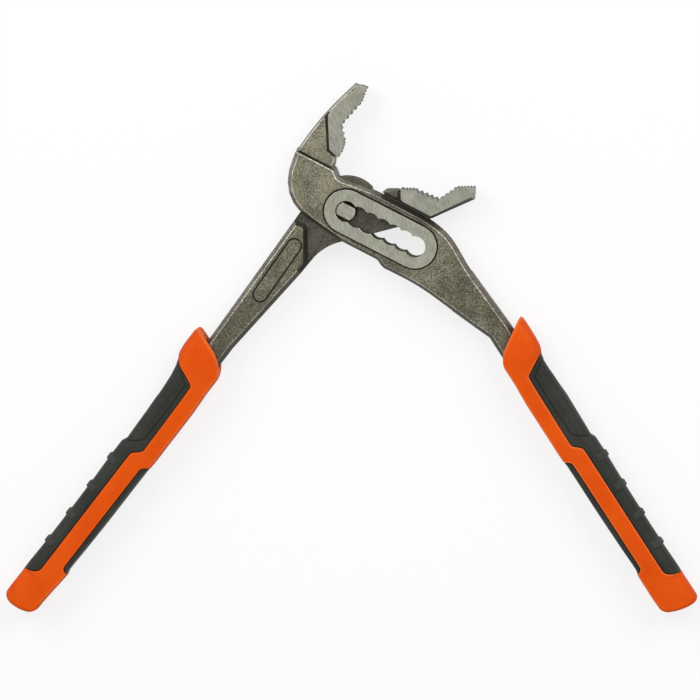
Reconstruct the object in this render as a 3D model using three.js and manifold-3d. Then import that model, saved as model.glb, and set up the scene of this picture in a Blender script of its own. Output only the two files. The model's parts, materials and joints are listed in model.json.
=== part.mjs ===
// Water pump pliers with a toothed box joint, lying flat with the handles wide open.
// Millimetres, +Z up. X runs to the right and Y towards the jaws. The part is drawn about the
// pin axis and its middle plane, and is set down at the end on the bottom centre of its box.
import * as THREE from 'three';
import { mergeVertices } from 'three/addons/utils/BufferGeometryUtils.js';
import Module from 'manifold-3d';

const wasm = await Module();
wasm.setup();

const degrees = THREE.MathUtils.degToRad;

// Toothed slot and keyed pin
const NOTCH_COUNT = 7;
const NOTCH_PITCH = 5.33;
const NOTCH_RADIUS = 4.35;
const SLOT_LENGTH = (NOTCH_COUNT - 1) * NOTCH_PITCH;
const CREST_HALF_WIDTH = Math.sqrt(NOTCH_RADIUS ** 2 - (NOTCH_PITCH / 2) ** 2);
const SLOT_ANGLE = degrees(26.9);
const KEY_CLEARANCE = 0.15;
const KEY_FLAT_CLEARANCE = 0.4;
const KEY_RADIUS = NOTCH_RADIUS - KEY_CLEARANCE;
const KEY_HALF_FLAT = CREST_HALF_WIDTH - KEY_FLAT_CLEARANCE;
const KEY_SEAT_DEPTH = 0.8;
const KEY_BELOW_BOSS = 0.3;
const DOWEL_RADIUS = 2.2;
const DOWEL_REACH_IN_KEY = 1.8;
const SEAT_CLEARANCE = 0.2;

// Half-thicknesses of the forgings about the middle plane
const WEB_HALF = 2.3;
const POCKET_CLEARANCE = 0.3;
const POCKET_HALF = WEB_HALF + POCKET_CLEARANCE;
const FORGING_HALF = 5.2;
const BOSS_HEIGHT = 0.8;
const BOSS_HALF = FORGING_HALF + BOSS_HEIGHT;
const BOSS_RIM = 4.65;
const JAW_HALF = 4.4;
const JAW_FACE_HALF = 5;
const TANG_HALF = 3.2;

// Forging draft, grooves and teeth
const DRAFT_INSET = 1.7;
const DRAFT_HEIGHT = 2.9;
const JAW_DRAFT_INSET = 0.8;
const GROOVE_WIDTH = 0.8;
const GROOVE_DEPTH = 0.6;
const BOSS_GROOVE_WIDTH = 0.5;
const PANEL_GROOVE_WIDTH = 0.55;
const PANEL_GROOVE_LENGTH = 24.6;
const PANEL_GROOVE_RADIUS = 3;
const FINE_TOOTH_DEPTH = 0.6;
const COARSE_TOOTH_DEPTH = 1;

// Slotted lever: box edges beside the slot axis, jaw, and the place of its grip past the slot's end
const BOX_TOP = 13.1;
const BOX_BOTTOM = 12.4;
const BOX_STEP = 1.9;
const BOX_BACK = 29.8;
const JAW_BASE = 14.1;
const JAW_BASE_GROOVE = 13;
const SLOTTED_JAW_HEIGHT = 49.3;
const GRIP_PAST_SLOT = 65.9;
const GRIP_BELOW_SLOT = 26.3;
const SLOTTED_GRIP_ANGLE = degrees(-30.2);

// Through lever: heel round the pin, back edge of the shank, and the place of its grip
const HEEL_RADIUS = 14.5;
const HEEL_START = degrees(43);
const SHANK_BACK = 15.4;
const SHANK_BACK_ANGLE = degrees(145);
const POCKET_END_CLEARANCE = 0.4;
const POCKET_PAST_SLOT = 25.5;
const POCKET_NECK_ANGLE = degrees(135);
const POCKET_CORNER = 4;
const JAW_CLEARANCE = 0.5;
const JAW_PAST_SLOT = 1;
const NECK_RUN = 1.9;
const NECK_RISE = 1.5;
const THROUGH_JAW_REACH = 53;
const SHOULDER = 16;
const THROUGH_GRIP_X = -64.7;
const THROUGH_GRIP_Y = -71.6;
const THROUGH_GRIP_ANGLE = degrees(232.5);

// Shank ends and tangs, measured along and across each grip
const SHANK_BELLY_SIDE = -5.1;
const SHANK_BACK_SIDE = 5;
const SHANK_MOUTH = -22;
const SHANK_END = -5;
const TANG_BELLY_SIDE = -4;
const TANG_BACK_SIDE = 3.6;
const TANG_END = 96;

// Grips
const GRIP_HALF = 7.5;
const GRIP_LENGTH = 116.3;
const GRIP_CORNER = 4.6;
const GRIP_CORNER_STEPS = 4;
const FIT_CLEARANCE = 0.3;
const PAD_THICKNESS = 1.8;
const PANEL_DEPTH = 0.4;
const RIDGE_COUNT = 4;
const RIDGE_PITCH = 14.2;
const RIDGE_START = 43.9;
const RIDGE_LENGTH = 4.2;
const RIDGE_HEIGHT = 0.8;
const RIDGE_REACH = 6.2;

const ARC_STEPS = 6;
const ROUND_STEPS = 32;
const FAR = 40;

const forgedSteel = { color: 0x69645a, roughness: 0.6, metalness: 0.85 };
const groundSteel = { color: 0xa5a598, roughness: 0.35, metalness: 0.9 };
const orangePlastic = { color: 0xe65a14, roughness: 0.45, metalness: 0 };
const blackRubber = { color: 0x3a3c36, roughness: 0.8, metalness: 0 };

// Solids, and the mesh made from a finished solid
function solid(geometry) {
  geometry.deleteAttribute('normal');
  geometry.deleteAttribute('uv');
  const merged = mergeVertices(geometry);
  return new wasm.Manifold(new wasm.Mesh({
    numProp: 3,
    vertProperties: new Float32Array(merged.attributes.position.array),
    triVerts: new Uint32Array(merged.index.array),
  }));
}

function joined(solids) {
  return solids.reduce((whole, piece) => whole.add(piece));
}

function cut(body, tools) {
  return tools.reduce((rest, tool) => rest.subtract(tool), body);
}

function mesh(name, body, look) {
  const { vertProperties, triVerts } = body.getMesh();
  const geometry = new THREE.BufferGeometry();
  geometry.setAttribute('position', new THREE.BufferAttribute(new Float32Array(vertProperties), 3));
  geometry.setIndex(new THREE.BufferAttribute(new Uint32Array(triVerts), 1));
  geometry.computeVertexNormals();
  const piece = new THREE.Mesh(geometry, new THREE.MeshStandardMaterial(look));
  piece.name = name;
  return piece;
}

// Outlines. A corner is [x, y] or [x, y, setback], where the setback rounds it off.
function outline(corners) {
  const shape = new THREE.Shape();
  const at = (i) => new THREE.Vector2(...corners[(i + corners.length) % corners.length].slice(0, 2));
  corners.forEach(([x, y, setback = 0], i) => {
    const here = at(i);
    const start = at(i - 1).sub(here).setLength(setback).add(here);
    const end = at(i + 1).sub(here).setLength(setback).add(here);
    if (i === 0) shape.moveTo(start.x, start.y);
    else shape.lineTo(start.x, start.y);
    if (setback > 0) shape.quadraticCurveTo(x, y, end.x, end.y);
  });
  shape.closePath();
  return shape;
}

// Corners given as shares of one size.
function scaled(size, corners) {
  return corners.map((corner) => corner.map((share) => share * size));
}

// Corners of a counter-clockwise outline moved outwards by a distance.
function grown(corners, distance) {
  const at = (i) => new THREE.Vector2(...corners[(i + corners.length) % corners.length].slice(0, 2));
  return corners.map(([x, y, setback = 0], i) => {
    const before = at(i).sub(at(i - 1)).normalize();
    const after = at(i + 1).sub(at(i)).normalize();
    const normal = new THREE.Vector2(before.y + after.y, -before.x - after.x).normalize();
    const reach = distance / (normal.x * after.y - normal.y * after.x);
    return [x + normal.x * reach, y + normal.y * reach, setback];
  });
}

// A band of one width along an open line of points.
function band(points, width) {
  const side = (sign) => points.map(([x, y], i) => {
    const from = points[Math.max(i - 1, 0)];
    const to = points[Math.min(i + 1, points.length - 1)];
    const normal = new THREE.Vector2(from[1] - to[1], to[0] - from[0]).setLength(sign * width / 2);
    return [x + normal.x, y + normal.y];
  });
  return outline([...side(-1), ...side(1).reverse()]);
}

function obround(length, radius) {
  const shape = new THREE.Shape();
  shape.absarc(0, 0, radius, Math.PI / 2, 3 * Math.PI / 2, false);
  shape.absarc(length, 0, radius, -Math.PI / 2, Math.PI / 2, false);
  shape.closePath();
  return shape;
}

// A plate with upright walls between two heights.
function slab(shape, low, high, curveSegments = ARC_STEPS) {
  const geometry = new THREE.ExtrudeGeometry(shape, {
    depth: high - low,
    bevelEnabled: false,
    curveSegments,
  });
  return solid(geometry.translate(0, 0, low));
}

// A forged plate about the middle plane, whose walls lean in towards both faces.
function forged(shape, half, inset) {
  const geometry = new THREE.ExtrudeGeometry(shape, {
    depth: 2 * (half - DRAFT_HEIGHT),
    bevelThickness: DRAFT_HEIGHT,
    bevelSize: inset,
    bevelOffset: -inset,
    bevelSegments: 1,
    curveSegments: ARC_STEPS,
  });
  return solid(geometry.translate(0, 0, DRAFT_HEIGHT - half));
}

function bar(radius, low, high) {
  const geometry = new THREE.CylinderGeometry(radius, radius, high - low, ROUND_STEPS);
  return solid(geometry.rotateX(Math.PI / 2).translate(0, 0, (low + high) / 2));
}

// The same groove pressed into the front and the rear face.
function groovePair(shape, half) {
  return [
    slab(shape, half - GROOVE_DEPTH, half + FAR),
    slab(shape, -half - FAR, GROOVE_DEPTH - half),
  ];
}

// Corners of a row of teeth from one point to another, with the steel on the left of the row.
function teeth([x0, y0], [x1, y1], count, depth) {
  const length = Math.hypot(x1 - x0, y1 - y0);
  const inward = [-(y1 - y0) / length * depth, (x1 - x0) / length * depth];
  const corners = [];
  for (let i = 0; i < count; i += 1) {
    const root = i / count;
    const crest = (i + 0.5) / count;
    corners.push([x0 + (x1 - x0) * root + inward[0], y0 + (y1 - y0) * root + inward[1]]);
    corners.push([x0 + (x1 - x0) * crest, y0 + (y1 - y0) * crest]);
  }
  return corners;
}

// Point where two straight edges cross, each given by the angle of its normal and its distance.
function crossing(angleA, distanceA, angleB, distanceB) {
  const turn = Math.sin(angleB - angleA);
  return [
    (distanceA * Math.sin(angleB) - distanceB * Math.sin(angleA)) / turn,
    (distanceB * Math.cos(angleA) - distanceA * Math.cos(angleB)) / turn,
  ];
}

// Place of a point given along and outward of a grip, in its lever's own plane.
function onGrip({ x, y, angle, side }, along, outward) {
  return [
    x + along * Math.cos(angle) - side * outward * Math.sin(angle),
    y + along * Math.sin(angle) + side * outward * Math.cos(angle),
  ];
}

const slottedGrip = {
  x: SLOT_LENGTH + GRIP_PAST_SLOT,
  y: -GRIP_BELOW_SLOT,
  angle: SLOTTED_GRIP_ANGLE,
  side: 1,
};
const throughGrip = { x: THROUGH_GRIP_X, y: THROUGH_GRIP_Y, angle: THROUGH_GRIP_ANGLE, side: -1 };

// End of a shank inside its grip's collar, counter-clockwise for a grip with its back on the left.
function shankEnd(grip) {
  const corners = [
    onGrip(grip, SHANK_MOUTH, SHANK_BELLY_SIDE),
    onGrip(grip, SHANK_END, SHANK_BELLY_SIDE),
    onGrip(grip, SHANK_END, SHANK_BACK_SIDE),
    onGrip(grip, SHANK_MOUTH, SHANK_BACK_SIDE),
  ];
  return grip.side > 0 ? corners : corners.reverse();
}

function tangCorners(clearance) {
  return [
    [SHANK_MOUTH, TANG_BELLY_SIDE - clearance],
    [TANG_END + clearance, TANG_BELLY_SIDE - clearance],
    [TANG_END + clearance, TANG_BACK_SIDE + clearance],
    [SHANK_MOUTH, TANG_BACK_SIDE + clearance],
  ];
}

function tang(grip) {
  const corners = tangCorners(0).map(([along, outward]) => onGrip(grip, along, outward));
  return slab(outline(corners), -TANG_HALF, TANG_HALF);
}

// Slot of overlapping round notches, along x from the first notch.
function toothedSlot() {
  const shape = new THREE.Shape();
  const open = Math.acos(NOTCH_PITCH / 2 / NOTCH_RADIUS);
  const last = NOTCH_COUNT - 1;
  for (let i = 0; i < NOTCH_COUNT; i += 1) {
    const from = i === 0 ? Math.PI : Math.PI + open;
    const to = i === last ? 2 * Math.PI : 2 * Math.PI - open;
    shape.absarc(i * NOTCH_PITCH, 0, NOTCH_RADIUS, from, to, false);
  }
  for (let i = last; i >= 0; i -= 1) {
    const from = i === last ? 0 : open;
    const to = i === 0 ? Math.PI : Math.PI - open;
    shape.absarc(i * NOTCH_PITCH, 0, NOTCH_RADIUS, from, to, false);
  }
  shape.closePath();
  return shape;
}

// Slotted lever, drawn with x along the slot and the first notch at the origin

// Space between the cheeks: its left end stops the other lever's shank at the widest opening.
function pocket() {
  const endAngle = SHANK_BACK_ANGLE + SLOT_ANGLE;
  const endDistance = SHANK_BACK + POCKET_END_CLEARANCE;
  const neckDistance = HEEL_RADIUS + POCKET_END_CLEARANCE;
  const [x, y] = crossing(endAngle, endDistance, POCKET_NECK_ANGLE, neckDistance);
  const below = crossing(endAngle, endDistance, -Math.PI / 2, FAR);
  const above = crossing(POCKET_NECK_ANGLE, neckDistance, Math.PI / 2, FAR);
  return outline([
    below,
    [SLOT_LENGTH + POCKET_PAST_SLOT, -FAR],
    [SLOT_LENGTH + POCKET_PAST_SLOT, FAR],
    above,
    [x, y, POCKET_CORNER],
  ]);
}

// Box and shank. Corners beside the slot are shares of its length, and those of the shank are
// shares of its run to the grip.
function slottedBody() {
  const end = shankEnd(slottedGrip);
  const pastSlot = (share) => SLOT_LENGTH + share * GRIP_PAST_SLOT;
  return outline([
    [-BOX_BACK, JAW_BASE],
    [-0.96 * BOX_BACK, -0.65 * BOX_BOTTOM, 0.6 * BOX_BACK],
    [0.09 * SLOT_LENGTH, -BOX_BOTTOM, 0.16 * SLOT_LENGTH],
    [0.64 * SLOT_LENGTH, -BOX_BOTTOM, 0.03 * SLOT_LENGTH],
    [0.74 * SLOT_LENGTH, -BOX_BOTTOM - BOX_STEP, 0.05 * SLOT_LENGTH],
    [1.25 * SLOT_LENGTH, -BOX_BOTTOM - 0.9 * BOX_STEP, 0.25 * SLOT_LENGTH],
    [pastSlot(0.537), -0.7 * GRIP_BELOW_SLOT, 0.1 * GRIP_PAST_SLOT],
    ...end,
    [pastSlot(0.367), 0.145 * BOX_TOP, 0.09 * GRIP_PAST_SLOT],
    [pastSlot(0.152), BOX_TOP - BOX_STEP, 0.1 * GRIP_PAST_SLOT],
    [0.97 * SLOT_LENGTH, 0.985 * BOX_TOP, 0.09 * SLOT_LENGTH],
    [0.16 * SLOT_LENGTH, BOX_TOP, 0.16 * SLOT_LENGTH],
    [-0.29 * BOX_BACK, BOX_TOP - BOX_STEP, 0.05 * BOX_BACK],
    [-0.4 * BOX_BACK, JAW_BASE],
  ]);
}

function slottedJaw() {
  return outline(scaled(SLOTTED_JAW_HEIGHT, [
    [-0.264, 0.223],
    [-0.258, 0.304, 0.03],
    [-0.284, 0.373],
    [-0.292, 0.507],
    [-0.383, 0.617],
    [-0.327, 0.86],
    [-0.337, 0.994],
    [-0.418, 0.988],
    [-0.556, 0.609, 0.284],
    [-0.606, 0.223],
  ]));
}

function slottedJawFace() {
  const [heel, foot, throat, brow, tip] = scaled(SLOTTED_JAW_HEIGHT, [
    [-0.254, 0.406],
    [-0.268, 0.511],
    [-0.359, 0.617],
    [-0.296, 0.864],
    [-0.312, 1],
  ]);
  return outline([
    ...scaled(SLOTTED_JAW_HEIGHT, [[-0.264, 0.371]]),
    ...teeth(heel, foot, 4, FINE_TOOTH_DEPTH),
    ...teeth(foot, throat, 3, COARSE_TOOTH_DEPTH),
    ...teeth(throat, brow, 5, COARSE_TOOTH_DEPTH),
    ...teeth(brow, tip, 5, FINE_TOOTH_DEPTH),
    tip,
    ...scaled(SLOTTED_JAW_HEIGHT, [
      [-0.373, 0.993],
      [-0.471, 0.767, 0.04],
      [-0.499, 0.649, 0.02],
      [-0.357, 0.396, 0.02],
    ]),
  ]);
}

function slottedFaceGroove() {
  return band(scaled(SLOTTED_JAW_HEIGHT, [
    [-0.505, 0.677],
    [-0.507, 0.637],
    [-0.365, 0.385],
    [-0.243, 0.357],
  ]), GROOVE_WIDTH);
}

function slottedLever() {
  const baseGroove = band([[-FAR, JAW_BASE_GROOVE], [0, JAW_BASE_GROOVE]], GROOVE_WIDTH);
  const bossRadius = NOTCH_RADIUS + BOSS_RIM;
  const bossGroove = obround(SLOT_LENGTH, bossRadius + BOSS_GROOVE_WIDTH);
  bossGroove.holes.push(obround(SLOT_LENGTH, bossRadius));
  const body = joined([
    forged(slottedBody(), FORGING_HALF, DRAFT_INSET),
    forged(slottedJaw(), JAW_HALF, JAW_DRAFT_INSET),
    slab(slottedJawFace(), -JAW_FACE_HALF, JAW_FACE_HALF),
    slab(obround(SLOT_LENGTH, bossRadius), -BOSS_HALF, BOSS_HALF, ROUND_STEPS / 2),
    tang(slottedGrip),
  ]);
  return cut(body, [
    slab(toothedSlot(), -FAR, FAR),
    slab(pocket(), -POCKET_HALF, POCKET_HALF),
    ...groovePair(slottedFaceGroove(), JAW_HALF),
    ...groovePair(baseGroove, JAW_HALF),
    ...groovePair(bossGroove, FORGING_HALF),
  ]);
}

// Through lever, drawn with x along its jaw and the pin at the origin

// Place of a point of the slotted lever in this lever's plane, at the widest opening.
function fromSlot(along, across) {
  return [
    along * Math.cos(SLOT_ANGLE) + across * Math.sin(SLOT_ANGLE),
    -along * Math.sin(SLOT_ANGLE) + across * Math.cos(SLOT_ANGLE),
  ];
}

// Point on the back edge of the shank, a distance past the heel.
function onShankBack(along) {
  const cos = Math.cos(SHANK_BACK_ANGLE);
  const sin = Math.sin(SHANK_BACK_ANGLE);
  return [SHANK_BACK * cos - along * sin, SHANK_BACK * sin + along * cos];
}

// Web between the cheeks. Its crotch is set by the heel's radius and its jaw end by the jaw's reach.
function web() {
  const crotch = scaled(HEEL_RADIUS, [[-1.31, -1.78], [-0.993, -1.4], [-0.731, -1.083], [-0.31, -0.924]]);
  const jawRoot = scaled(THROUGH_JAW_REACH, [[0.717, 0.057], [0.528, 0.132], [0.321, 0.158]]);
  const shape = new THREE.Shape();
  shape.absarc(0, 0, HEEL_RADIUS, HEEL_START, SHANK_BACK_ANGLE, false);
  shape.lineTo(...onShankBack(0.55 * HEEL_RADIUS));
  shape.lineTo(...onShankBack(2.35 * HEEL_RADIUS));
  shape.lineTo(...crotch[0]);
  shape.lineTo(...crotch[1]);
  shape.quadraticCurveTo(...crotch[2], ...crotch[3]);
  shape.lineTo(...fromSlot(SLOT_LENGTH + JAW_PAST_SLOT, BOX_TOP + JAW_CLEARANCE));
  for (const corner of jawRoot) shape.lineTo(...corner);
  shape.lineTo(...fromSlot(0.31 * SLOT_LENGTH, 0.92 * BOX_TOP));
  shape.lineTo(...fromSlot(0.19 * SLOT_LENGTH, 0.92 * BOX_TOP));
  shape.closePath();
  return shape;
}

function throughJaw() {
  const neck = fromSlot(0.3 * SLOT_LENGTH, BOX_TOP + JAW_CLEARANCE);
  return outline([
    neck,
    fromSlot(SLOT_LENGTH + JAW_PAST_SLOT, BOX_TOP + JAW_CLEARANCE),
    ...scaled(THROUGH_JAW_REACH, [
      [1, 0.096],
      [1, 0.177],
      [0.853, 0.17],
      [0.721, 0.077],
      [0.528, 0.157],
      [0.423, 0.158],
      [0.408, 0.175],
    ]),
    [neck[0] + NECK_RUN, neck[1] + NECK_RISE, 0.4 * NECK_RUN],
  ]);
}

function throughJawFace() {
  const [tip, brow, throat, foot, heel] = scaled(THROUGH_JAW_REACH, [
    [1, 0.196],
    [0.857, 0.194],
    [0.721, 0.1],
    [0.528, 0.179],
    [0.426, 0.179],
  ]);
  return outline([
    ...scaled(THROUGH_JAW_REACH, [[0.426, 0.083, 0.019], [0.66, -0.038], [1, 0.128]]),
    ...teeth(tip, brow, 6, FINE_TOOTH_DEPTH),
    ...teeth(brow, throat, 4, COARSE_TOOTH_DEPTH),
    ...teeth(throat, foot, 5, COARSE_TOOTH_DEPTH),
    ...teeth(foot, heel, 4, FINE_TOOTH_DEPTH),
    heel,
  ]);
}

function throughFaceGroove() {
  const line = scaled(THROUGH_JAW_REACH, [[0.411, 0.22], [0.411, 0.079], [0.5, 0.032]]);
  return band(line, GROOVE_WIDTH);
}

function throughShank() {
  return outline([
    onShankBack(1.07 * HEEL_RADIUS),
    ...shankEnd(throughGrip),
    ...scaled(HEEL_RADIUS, [[-1.338, -1.82, 0.07]]),
    [-SHOULDER, -1.53 * HEEL_RADIUS],
    [-SHOULDER, -0.38 * HEEL_RADIUS, 0.15 * SHOULDER],
  ]);
}

// Obround line pressed into both faces of the shank, alongside its back edge.
function panelGrooves() {
  const shape = obround(PANEL_GROOVE_LENGTH, PANEL_GROOVE_RADIUS + PANEL_GROOVE_WIDTH / 2);
  shape.holes.push(obround(PANEL_GROOVE_LENGTH, PANEL_GROOVE_RADIUS - PANEL_GROOVE_WIDTH / 2));
  const turn = THREE.MathUtils.radToDeg(SHANK_BACK_ANGLE + Math.PI / 2);
  const place = [-1.476 * HEEL_RADIUS, -0.993 * HEEL_RADIUS, 0];
  return groovePair(shape, FORGING_HALF).map((tool) => tool.rotate([0, 0, turn]).translate(place));
}

function keyShape(clearance) {
  const radius = KEY_RADIUS + clearance;
  const flat = Math.asin((KEY_HALF_FLAT + clearance) / radius);
  const shape = new THREE.Shape();
  shape.absarc(0, 0, radius, -flat, flat, false);
  shape.absarc(0, 0, radius, Math.PI - flat, Math.PI + flat, false);
  shape.closePath();
  return shape;
}

function keySeat(sign) {
  const inner = sign * (WEB_HALF - KEY_SEAT_DEPTH - SEAT_CLEARANCE);
  const outer = sign * FAR;
  const seat = slab(keyShape(SEAT_CLEARANCE), Math.min(inner, outer), Math.max(inner, outer));
  return seat.rotate([0, 0, -THREE.MathUtils.radToDeg(SLOT_ANGLE)]);
}

function throughLever() {
  const body = joined([
    slab(web(), -WEB_HALF, WEB_HALF, ROUND_STEPS / 2),
    forged(throughJaw(), JAW_HALF, JAW_DRAFT_INSET),
    slab(throughJawFace(), -JAW_FACE_HALF, JAW_FACE_HALF),
    forged(throughShank(), FORGING_HALF, DRAFT_INSET),
    tang(throughGrip),
  ]);
  return cut(body, [
    bar(DOWEL_RADIUS + SEAT_CLEARANCE, -FAR, FAR),
    keySeat(1),
    keySeat(-1),
    ...groovePair(throughFaceGroove(), JAW_HALF),
    ...panelGrooves(),
  ]);
}

// Pin: a round core with a flatted key on each end

function lockingKey() {
  const inner = WEB_HALF - KEY_SEAT_DEPTH;
  const body = slab(keyShape(0), inner, BOSS_HALF - KEY_BELOW_BOSS);
  const bore = bar(DOWEL_RADIUS + SEAT_CLEARANCE, 0, inner + DOWEL_REACH_IN_KEY + SEAT_CLEARANCE);
  return body.subtract(bore);
}

function pivotDowel() {
  const reach = WEB_HALF - KEY_SEAT_DEPTH + DOWEL_REACH_IN_KEY;
  return bar(DOWEL_RADIUS, -reach, reach);
}

// Grip, drawn with x along the handle and y outward to its back edge

// Sections of the grip along its length: [place, belly side, back side, half-thickness].
const gripSections = [
  [-24, -6.6, 11.5, GRIP_HALF],
  [-12, -6.6, 11.6, GRIP_HALF],
  [-7.5, -7.3, 11.4, GRIP_HALF],
  [-5, -7.5, 9.8, GRIP_HALF],
  [1, -7.7, 8.9, GRIP_HALF],
  [10, -7.7, 8.1, GRIP_HALF],
  [34.4, -7.7, 8.1, GRIP_HALF],
  [36.2, -7.6, 8.9, GRIP_HALF],
  [38.5, -7.3, 8.9, GRIP_HALF],
  [92, -7.2, 8.9, GRIP_HALF],
  [GRIP_LENGTH - 7, -6.1, 9, GRIP_HALF],
  [GRIP_LENGTH - 2.6, -5.6, 9, GRIP_HALF - 0.8],
  [GRIP_LENGTH - 0.8, -4.6, 8.2, GRIP_HALF - 2.2],
  [GRIP_LENGTH, -2.6, 6.4, GRIP_HALF - 4.2],
];

// Ring of points round one section with rounded corners, drawn in by an inset.
function sectionRing([place, belly, back, half], inset) {
  const middle = (belly + back) / 2;
  const wide = (back - belly) / 2 - inset;
  const tall = half - inset;
  const corner = Math.min(GRIP_CORNER - inset, 0.9 * tall, 0.9 * wide);
  const ring = [];
  for (let quarter = 0; quarter < 4; quarter += 1) {
    const outward = quarter === 0 || quarter === 3 ? 1 : -1;
    const up = quarter < 2 ? 1 : -1;
    for (let i = 0; i <= GRIP_CORNER_STEPS; i += 1) {
      const angle = (quarter + i / GRIP_CORNER_STEPS) * Math.PI / 2;
      const y = middle + outward * (wide - corner) + corner * Math.cos(angle);
      const z = up * (tall - corner) + corner * Math.sin(angle);
      ring.push([place, y, z]);
    }
  }
  return ring;
}

// Closed skin through the rings of all sections, with a fan on each end.
function gripBody(inset) {
  const rings = gripSections.map((section) => sectionRing(section, inset));
  const size = rings[0].length;
  const points = rings.flat();
  const faces = [];
  for (let r = 0; r + 1 < rings.length; r += 1) {
    for (let i = 0; i < size; i += 1) {
      const a = r * size + i;
      const b = r * size + (i + 1) % size;
      faces.push(a, b, a + size, b, b + size, a + size);
    }
  }
  for (const [ring, first, flip] of [[rings[0], 0, true], [rings.at(-1), points.length - size, false]]) {
    const centre = points.push([ring[0][0], (ring[0][1] + ring[size / 2][1]) / 2, 0]) - 1;
    for (let i = 0; i < size; i += 1) {
      const a = first + i;
      const b = first + (i + 1) % size;
      faces.push(...(flip ? [centre, b, a] : [centre, a, b]));
    }
  }
  const geometry = new THREE.BufferGeometry();
  geometry.setAttribute('position', new THREE.Float32BufferAttribute(points.flat(), 3));
  geometry.setIndex(faces);
  return solid(geometry);
}

// Plan outlines of the pads and cuts, each reaching past the side of the grip that it wraps.
const backPadPlan = [
  [-8, 14.8],
  [0, 0, 1],
  [2, -1.1, 0.5],
  [33, -1.1, 1],
  [38, 2.6, 1.5],
  [97.7, 2.6, 1.5],
  [100.4, 5, 1],
  [102.6, 14.8],
];
const panelPlan = [
  [2, 14.8],
  [1.4, 2.5, 0.5],
  [29, 1.6, 1],
  [32.6, 5, 1],
  [35.6, 14.8],
];
const bellyPadPlan = [
  [37, -12],
  [95.5, -12],
  [93, -4.6, 2],
  [42, -4.6, 2],
];
const mouthPlan = [
  [-FAR, -15],
  [-6.8, -15],
  [-20.1, 5.2, 3],
  [-21.9, 11.4],
  [-22.5, 20],
  [-FAR, 20],
];

function prism(corners, clearance = 0) {
  return slab(outline(grown(corners, clearance)), -FAR, FAR);
}

function ridges() {
  const rows = [];
  for (let i = 0; i < RIDGE_COUNT; i += 1) {
    const middle = RIDGE_START + i * RIDGE_PITCH;
    const plan = outline([
      [middle - RIDGE_LENGTH / 2, 14.8],
      [middle - RIDGE_LENGTH / 2, 5.6, 1],
      [middle + RIDGE_LENGTH / 2, 5.6, 1],
      [middle + RIDGE_LENGTH / 2, 14.8],
    ]);
    rows.push(slab(plan, -RIDGE_REACH, RIDGE_REACH));
  }
  return joined(rows).intersect(gripBody(-RIDGE_HEIGHT));
}

function gripPieces() {
  const outer = gripBody(0);
  const padBed = gripBody(PAD_THICKNESS);
  const sleeveBed = gripBody(PAD_THICKNESS + FIT_CLEARANCE);
  const panel = prism(panelPlan).subtract(gripBody(PANEL_DEPTH));
  const shankHole = outline([
    [-FAR, SHANK_BELLY_SIDE - FIT_CLEARANCE],
    [SHANK_END + FIT_CLEARANCE, SHANK_BELLY_SIDE - FIT_CLEARANCE],
    [SHANK_END + FIT_CLEARANCE, SHANK_BACK_SIDE + FIT_CLEARANCE],
    [-FAR, SHANK_BACK_SIDE + FIT_CLEARANCE],
  ]);
  const tangHole = outline(tangCorners(FIT_CLEARANCE));
  const sleeve = cut(outer, [
    prism(mouthPlan),
    slab(shankHole, -FORGING_HALF - FIT_CLEARANCE, FORGING_HALF + FIT_CLEARANCE),
    slab(tangHole, -TANG_HALF - FIT_CLEARANCE, TANG_HALF + FIT_CLEARANCE),
    prism(backPadPlan, FIT_CLEARANCE).subtract(sleeveBed),
    prism(bellyPadPlan, FIT_CLEARANCE).subtract(sleeveBed),
  ]);
  const backPad = cut(joined([outer.intersect(prism(backPadPlan)), ridges()]), [padBed, panel]);
  const bellyPad = cut(outer.intersect(prism(bellyPadPlan)), [padBed]);
  return { sleeve, backPad, bellyPad };
}

function gripGroup(lever, { x, y, angle, side }, { sleeve, backPad, bellyPad }) {
  const group = new THREE.Group();
  group.add(
    mesh(`${lever}_grip`, sleeve, orangePlastic),
    mesh(`${lever}_back_pad`, backPad, blackRubber),
    mesh(`${lever}_belly_pad`, bellyPad, blackRubber),
  );
  group.position.set(x, y, 0);
  group.rotation.set(side > 0 ? 0 : Math.PI, 0, angle, 'ZYX');
  return group;
}

// Assembly
const pieces = gripPieces();

const slotted = new THREE.Group();
slotted.add(mesh('slotted_lever', slottedLever(), forgedSteel));
slotted.add(gripGroup('slotted_lever', slottedGrip, pieces));
slotted.rotation.z = -SLOT_ANGLE;

const through = new THREE.Group();
through.add(mesh('through_lever', throughLever(), forgedSteel));
through.add(gripGroup('through_lever', throughGrip, pieces));

const pin = new THREE.Group();
const frontKey = mesh('front_locking_key', lockingKey(), groundSteel);
const rearKey = mesh('rear_locking_key', lockingKey(), groundSteel);
rearKey.rotation.x = Math.PI;
pin.add(frontKey, rearKey, mesh('pivot_dowel', pivotDowel(), groundSteel));
pin.rotation.z = -SLOT_ANGLE;

const pliers = new THREE.Group();
pliers.add(slotted, through, pin);
pliers.updateMatrixWorld(true);
const box = new THREE.Box3().setFromObject(pliers, true);
const centre = box.getCenter(new THREE.Vector3());
pliers.position.set(-centre.x, -centre.y, -box.min.z);

export default pliers;
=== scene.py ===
"""Looks of a pair of water pump pliers: forged steel levers with ground faces, and two-part moulded grips."""

import json
import math

import bmesh
import bpy
import numpy as np
from mathutils import Matrix, Vector


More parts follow.
